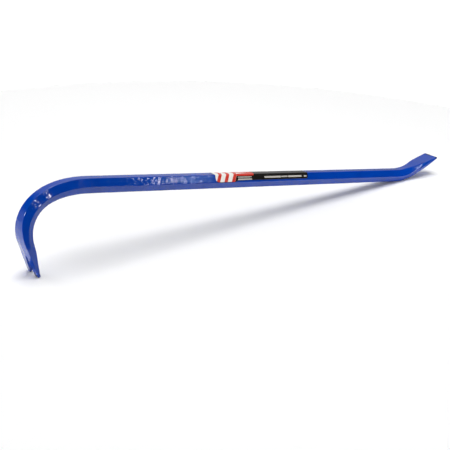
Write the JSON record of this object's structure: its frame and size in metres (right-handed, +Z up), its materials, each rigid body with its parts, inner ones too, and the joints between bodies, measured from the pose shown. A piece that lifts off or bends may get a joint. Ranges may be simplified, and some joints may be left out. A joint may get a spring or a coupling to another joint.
{
  "type": "gooseneck pry bar",
  "caption": "Hexagonal steel bar with a hooked, slotted nail-pulling claw at one end and an angled chisel blade at the other, painted blue, with a wrap-over printed label.",
  "frame": {"origin": "on the surface the bar stands on, under the middle of the box round it", "axes": "+X along the bar from the claw to the chisel, +Y across it, +Z up; the hook and the elbow bend in the XZ plane"},
  "size_m": [0.7508, 0.0272, 0.1107],
  "materials": {
    "blue_enamel": "gloss blue enamel with light orange peel",
    "printed_film": "gloss printed vinyl film"
  },
  "bodies": {
    "root": {"forged_bar": "blue_enamel", "label": "printed_film"}
  },
  "joints": []
}
